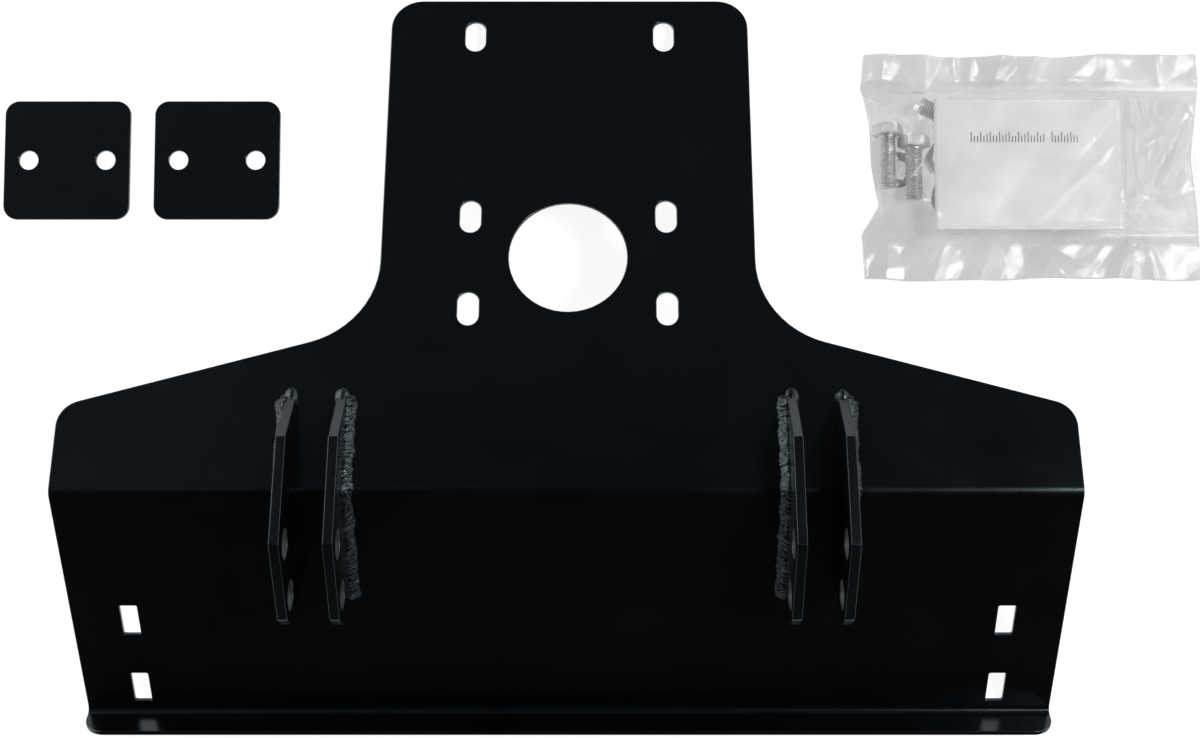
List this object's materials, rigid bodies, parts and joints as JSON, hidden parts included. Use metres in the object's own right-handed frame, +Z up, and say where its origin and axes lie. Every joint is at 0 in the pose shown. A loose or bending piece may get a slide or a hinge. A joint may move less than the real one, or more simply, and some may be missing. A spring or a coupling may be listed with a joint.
{
  "type": "atv plow mount kit",
  "caption": "T-shaped bent steel plow mount plate with welded clevis ears, small backing plates, and a sealed clear bag of bolts, nuts and washers with a folded card, laid out flat.",
  "frame": {"origin": "middle of the laid-out kit's box, on the table it lies on", "axes": "+X to the right across the mount plate, with the hardware bag on that side; +Y away from the front flange towards the far end of the stem; +Z up from the table"},
  "size_m": [0.81, 0.4922, 0.1329],
  "materials": {
    "powder_coat": "semi-gloss black powder coat over steel",
    "weld_bead": "rippled fillet weld under the same powder coat",
    "poly_film": "clear crinkled polythene film with pressed heat seals",
    "card_paper": "folded white paper, matte, with plain grey printed bars",
    "zinc": "bright zinc plate"
  },
  "bodies": {
    "mount": {"mount_plate": "powder_coat", "ear_left_outer": "powder_coat", "ear_left_inner": "powder_coat", "ear_right_inner": "powder_coat", "ear_right_outer": "powder_coat", "weld_left_outer": "weld_bead", "weld_left_inner": "weld_bead", "weld_right_inner": "weld_bead", "weld_right_outer": "weld_bead"},
    "backing_plate_left": {"backing_plate_left": "powder_coat"},
    "backing_plate_right": {"backing_plate_right": "powder_coat"},
    "hardware_bag": {"bag_back_film": "poly_film", "bag_front_film": "poly_film", "instruction_card": "card_paper", "hex_bolts": "zinc", "hex_nuts": "zinc", "flat_washers": "zinc", "lock_washers": "zinc"}
  },
  "joints": [
    {"name": "backing_plate_left_lift", "type": "slide", "parent": "mount", "child": "backing_plate_left", "axis": [0, 0, 1], "range_m": [0, 0.15]},
    {"name": "backing_plate_right_lift", "type": "slide", "parent": "mount", "child": "backing_plate_right", "axis": [0, 0, 1], "range_m": [0, 0.15]},
    {"name": "hardware_bag_lift", "type": "slide", "parent": "mount", "child": "hardware_bag", "axis": [0, 0, 1], "range_m": [0, 0.15]}
  ]
}
